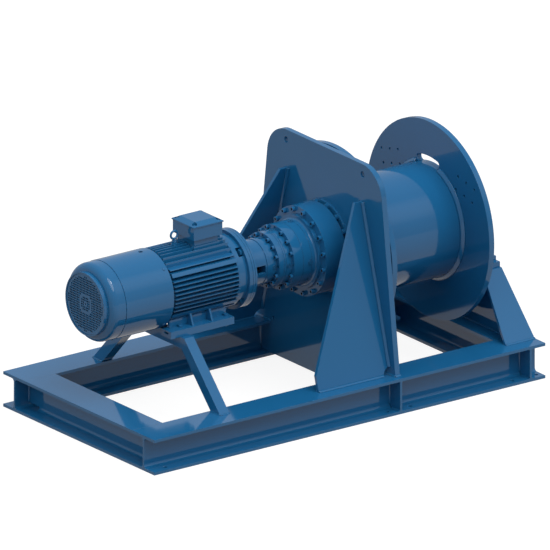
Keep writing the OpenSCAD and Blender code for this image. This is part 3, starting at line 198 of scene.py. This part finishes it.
def ring_weld(bm, x, r, u_x, u_r, leg, gap=0.0):
    """A weld round the drum axis at station x and radius r, open over the top for gap radians each way."""
    length = 2 * (math.pi - gap) * r
    steps = max(24, round(length / (RIPPLE / 1.5)))
    path, sides = [], []
    for i in range(steps + (0 if gap == 0 else 1)):
        a = math.pi / 2 + gap + 2 * (math.pi - gap) * i / steps
        radial = Vector((0, math.cos(a), math.sin(a)))
        path.append(Vector((x, 0, AXIS_Z)) + radial * r)
        sides.append((Vector((u_x, 0, 0)), radial * u_r))
    bead(bm, path, sides, leg, closed=gap == 0)


X, Y, Z = Vector((1, 0, 0)), Vector((0, 1, 0)), Vector((0, 0, 1))
SIDES = (-1, 1)
PLATE_X, PLATE_BACK, PLATE_FOOT = at(1307), at(1332), 0.511
GUSSET_FOOT, GUSSET_TOP, GUSSET_H, GUSSET_L = 0.477, 0.276, 0.730, 0.382
LEAN = math.atan((GUSSET_FOOT - GUSSET_TOP) / GUSSET_H)
GUSSET_WIDE = 0.015 / math.cos(LEAN)

bm = bmesh.new()
for s in SIDES:
    for x, u in ((PLATE_X, -X), (PLATE_BACK, X)):
        line_weld(bm, (x, s * 0.386, DECK_Z), (x, s * PLATE_FOOT, DECK_Z), u, Z, 0.008)
        line_weld(bm, (x, s * 0.461, 0.032), (x, s * 0.461, 0.128), u, -s * Y, 0.006)
    line_weld(bm, (PLATE_X, s * PLATE_FOOT, DECK_Z), (PLATE_BACK, s * PLATE_FOOT, DECK_Z), s * Y, Z, 0.008)
finish_mesh(bm, "plate_welds", "frame", paint)

bm = bmesh.new()
for s in SIDES:
    slope = Vector((0, -s * math.sin(LEAN), math.cos(LEAN)))
    slope_l = GUSSET_H / math.cos(LEAN)
    for y0, out in ((GUSSET_FOOT, s), (GUSSET_FOOT - GUSSET_WIDE, -s)):
        foot = Vector((PLATE_X, s * y0, DECK_Z))
        line_weld(bm, foot + X * (0.001 - GUSSET_L), foot - X * 0.036, out * Y, Z, 0.008)
        line_weld(bm, foot + slope * 0.037, foot + slope * (slope_l - 0.001), -X, out * Y, 0.012)
finish_mesh(bm, "gusset_welds", "frame", paint)

bm = bmesh.new()
for s in SIDES:
    for x in (1308, 1998):
        for face, u in ((at(x), -X), (at(x + 10), X)):
            line_weld(bm, (face, s * 0.469, 0.030), (face, s * 0.469, 0.130), u, s * Y, 0.005)
            line_weld(bm, (face, s * 0.486, 0.013), (face, s * 0.544, 0.013), u, Z, 0.005)
            line_weld(bm, (face, s * 0.486, 0.147), (face, s * 0.544, 0.147), u, -Z, 0.005)
    for x in (80, 2000):
        for face, u in ((at(x) - WEB_HALF, -X), (at(x) + WEB_HALF, X)):
            line_weld(bm, (face, s * 0.461, 0.030), (face, s * 0.461, 0.130), u, -s * Y, 0.006)
finish_mesh(bm, "frame_welds", "frame", paint)

PED_X, PED_FOOT, PED_HEAD, PED_TOP, PED_UNDER = at(2000), 0.473, 0.272, 0.432, 0.412
PED_LEAN = math.atan((PED_FOOT - PED_HEAD) / (PED_TOP - DECK_Z))
PED_WIDE = 0.012 / math.cos(PED_LEAN)
bm = bmesh.new()
for s in SIDES:
    slope = Vector((0, -s * math.sin(PED_LEAN), math.cos(PED_LEAN)))
    for y0, out in ((PED_FOOT, s), (PED_FOOT - PED_WIDE, -s)):
        line_weld(bm, (PED_X - 0.077, s * y0, DECK_Z), (PED_X + 0.077, s * y0, DECK_Z), out * Y, Z, 0.007)
    inner = Vector((0, s * (PED_FOOT - PED_WIDE), DECK_Z))
    slope_l = (PED_UNDER - DECK_Z) / math.cos(PED_LEAN)
    for x, u in ((PED_X - 0.006, -X), (PED_X + 0.006, X)):
        start = inner + Vector((x, 0, 0))
        line_weld(bm, start + slope * 0.008, start + slope * (slope_l - 0.004), u, -s * Y, 0.006)
        line_weld(bm, (x, 0, DECK_Z), (x, s * 0.455, DECK_Z), u, Z, 0.006)
        line_weld(bm, (x, 0, PED_UNDER), (x, s * 0.262, PED_UNDER), u, -Z, 0.006)
finish_mesh(bm, "pedestal_welds", "frame", paint)

LEG_X0, LEG_X1, LEG_IN, LEG_OUT = at(413), at(463), 0.3903, 0.459
bm = bmesh.new()
for s in SIDES:
    line_weld(bm, (LEG_X0, s * LEG_IN, DECK_Z), (LEG_X0, s * LEG_OUT, DECK_Z), -X, Z, 0.005)
    line_weld(bm, (LEG_X1, s * LEG_IN, DECK_Z), (LEG_X1, s * LEG_OUT, DECK_Z), X, Z, 0.005)
    line_weld(bm, (LEG_X0, s * LEG_OUT, DECK_Z), (LEG_X1, s * LEG_OUT, DECK_Z), s * Y, Z, 0.005)
finish_mesh(bm, "trestle_welds", "frame", paint)

bm = bmesh.new()
ring_weld(bm, at(1367), 0.254, 1, 1, 0.017)
ring_weld(bm, at(1857), 0.254, -1, 1, 0.017, gap=math.asin(0.083 / 0.254))
ring_weld(bm, at(1863), 0.240, 1, -1, 0.009)
ring_weld(bm, at(1863), 0.060, 1, 1, 0.009)
finish_mesh(bm, "drum_welds", "drum", paint)


# ---------------------------------------------------------------- screw sockets, filled with near-black cups as painted shade
SOCKET_POINTS = 12      # points round a socket


def socket(bm, x, y, z, d):
    """A near-black cup in a screw's socket, painted shade for its inside, open to -X. The thread is d and the
    head's seat is at x.
    """
    def ring(depth, r):
        angles = [2 * math.pi * k / SOCKET_POINTS for k in range(SOCKET_POINTS)]
        return [bm.verts.new((x - depth * d, y + r * d * math.cos(a), z + r * d * math.sin(a)))
                for a in angles]

    # Depths and radii in thread diameters: bottom outside, rim outside and inside, bottom inside
    rings = [ring(0.465, 0.392), ring(0.96, 0.392), ring(0.96, 0.378), ring(0.50, 0.372), ring(0.48, 0.25)]
    for a, b in zip(rings, rings[1:]):
        for k in range(SOCKET_POINTS):
            j = (k + 1) % SOCKET_POINTS
            bm.faces.new((a[k], a[j], b[j], b[k]))
    bm.faces.new(rings[0])
    bm.faces.new(list(reversed(rings[-1])))


# Screw circles: station of the face, radius, thread, first angle, and whether the quarter turns stay free
SCREW_CIRCLES = ((978, 0.112, 0.012, 0.0, True), (1042, 0.134, 0.012, 0.0, True),
                 (1172, 0.185, 0.014, 11.25, False), (1295, 0.191, 0.016, 11.25, False))
# Painted shade: the socket cups are near black so that the sockets look deep in shade
socket_painted_shade = paint_material("socket_painted_shade", (0.010, 0.011, 0.012), (0.006, 0.007, 0.008), rough=0.4)
for number, (station, r, d, start, quarters_free) in enumerate(SCREW_CIRCLES, 1):
    bm = bmesh.new()
    for k in range(16):
        if not (quarters_free and k % 4 == 0):
            a = math.radians(start + 22.5 * k)
            socket(bm, at(station), r * math.cos(a), AXIS_Z + r * math.sin(a), d)
    finish_mesh(bm, f"painted_socket_shade_{number}", "frame", socket_painted_shade, smooth=False)


# ---------------------------------------------------------------- light, floor and camera
def ray_mix(nodes, links, parts):
    """A colour by the kind of ray: parts is [(Light Path output, colour)], the last one for the rest."""
    path = nodes.new("ShaderNodeLightPath")
    result = parts[-1][1]
    for ray, socket in reversed(parts[:-1]):
        mix = nodes.new("ShaderNodeMixRGB")
        links.new(path.outputs[ray], mix.inputs["Fac"])
        for slot, value in (("Color1", result), ("Color2", socket)):
            if isinstance(value, tuple):
                mix.inputs[slot].default_value = (*value, 1)
            else:
                links.new(value, mix.inputs[slot])
        result = mix.outputs["Color"]
    return result


def ramp(nodes, links, vector, direction, low, high):
    """How far vector reaches along direction, from 0 at low to 1 at high."""
    dot = nodes.new("ShaderNodeVectorMath")
    dot.operation = "DOT_PRODUCT"
    links.new(vector, dot.inputs[0])
    dot.inputs[1].default_value = direction
    fit = nodes.new("ShaderNodeMapRange")
    links.new(dot.outputs["Value"], fit.inputs["Value"])
    fit.inputs["From Min"].default_value, fit.inputs["From Max"].default_value = low, high
    return fit.outputs["Result"]


def blend(nodes, links, factor, colour1, colour2):
    mix = nodes.new("ShaderNodeMixRGB")
    links.new(factor, mix.inputs["Fac"])
    for slot, value in (("Color1", colour1), ("Color2", colour2)):
        if isinstance(value, tuple):
            mix.inputs[slot].default_value = (*value, 1)
        else:
            links.new(value, mix.inputs[slot])
    return mix.outputs["Color"]


# The sky's foot and top as diffuse surfaces meet them; the sky and its front patch as glossy ones do
SKY_LOW, SKY_HIGH = (0.54, 0.54, 0.54), (1.06, 1.06, 1.06)
GLOSS_SKY, GLOSS_FRONT = (0.52, 0.54, 0.58), (0.93, 0.95, 1.0)
# The floor as glossy surfaces meet it, far and near; as diffuse ones do; as the camera sees it, lit and glowing
FLOOR_BACK, FLOOR_FRONT = (0.55, 0.53, 0.50), (0.80, 0.79, 0.78)
FLOOR_DIFFUSE = (0.12, 0.12, 0.12)
FLOOR_SEEN, FLOOR_GLOW = (0.20, 0.20, 0.20), (0.88, 0.88, 0.88)
world = bpy.data.worlds.new("studio")
bpy.context.scene.world = world
world.use_nodes = True
nodes, links = world.node_tree.nodes, world.node_tree.links
background = nodes["Background"]
towards = nodes.new("ShaderNodeTexCoord").outputs["Generated"]
sky = blend(nodes, links, ramp(nodes, links, towards, (0, 0, 1), 0.0, 1.0), SKY_LOW, SKY_HIGH)
patch = ramp(nodes, links, towards, (0.559, -0.545, 0.626), 0.94, 0.995)
gloss = blend(nodes, links, patch, GLOSS_SKY, GLOSS_FRONT)
white = (1.0, 1.0, 1.0)
links.new(ray_mix(nodes, links, [("Is Camera Ray", white), ("Is Glossy Ray", gloss), ("", sky)]),
          background.inputs["Color"])

bpy.ops.mesh.primitive_plane_add(size=400, location=(0, 0, 0))
floor = bpy.context.object
floor.name = "floor"
fm, nodes, links, shader = new_material("studio_floor")
nodes.remove(shader)
out = nodes["Material Output"]
diffuse = nodes.new("ShaderNodeBsdfDiffuse")
black = (0.0, 0.0, 0.0)
links.new(ray_mix(nodes, links, [("Is Camera Ray", FLOOR_SEEN), ("Is Glossy Ray", black), ("", FLOOR_DIFFUSE)]),
          diffuse.inputs["Color"])
glow = nodes.new("ShaderNodeEmission")
place = nodes.new("ShaderNodeTexCoord").outputs["Object"]
forward = ramp(nodes, links, place, (0.594, -0.804, 0), -0.8, 0.8)
floor_gloss = blend(nodes, links, forward, FLOOR_BACK, FLOOR_FRONT)
links.new(ray_mix(nodes, links, [("Is Camera Ray", FLOOR_GLOW), ("Is Glossy Ray", floor_gloss), ("", black)]),
          glow.inputs["Color"])
add = nodes.new("ShaderNodeAddShader")
links.new(diffuse.outputs[0], add.inputs[0])
links.new(glow.outputs[0], add.inputs[1])
links.new(add.outputs[0], out.inputs["Surface"])
floor.data.materials.append(fm)


def towards_view(a, e):
    """The direction from the object to a viewer at azimuth a, counted as the views are, and elevation e."""
    return Vector((math.sin(a) * math.cos(e), -math.cos(a) * math.cos(e), math.sin(e)))


def sun(name, azimuth, elevation, strength, angle):
    """A distant lamp that shines from azimuth and elevation, in degrees."""
    light = bpy.data.lights.new(name, "SUN")
    light.energy, light.angle = strength, math.radians(angle)
    obj = bpy.data.objects.new(name, light)
    obj.rotation_mode = "QUATERNION"
    obj.rotation_quaternion = towards_view(math.radians(azimuth), math.radians(elevation)).to_track_quat("Z", "Y")
    bpy.context.collection.objects.link(obj)
    return obj


sun("front_light", 8, 58, 0.94, 40)
sun("glint_light", 40, 58, 0.12, 7)

cam_data = bpy.data.cameras.new("camera")
camera = bpy.data.objects.new("camera", cam_data)
bpy.context.collection.objects.link(camera)
back = towards_view(AZIMUTH, ELEVATION)
camera.location = AIM + back * DISTANCE
camera.rotation_mode = "QUATERNION"
camera.rotation_quaternion = back.to_track_quat("Z", "Y")
cam_data.type = "ORTHO"
cam_data.ortho_scale = IMAGE
cam_data.clip_start, cam_data.clip_end = 0.1, 500.0
bpy.context.scene.camera = camera
bpy.context.scene.view_settings.view_transform = "Standard"
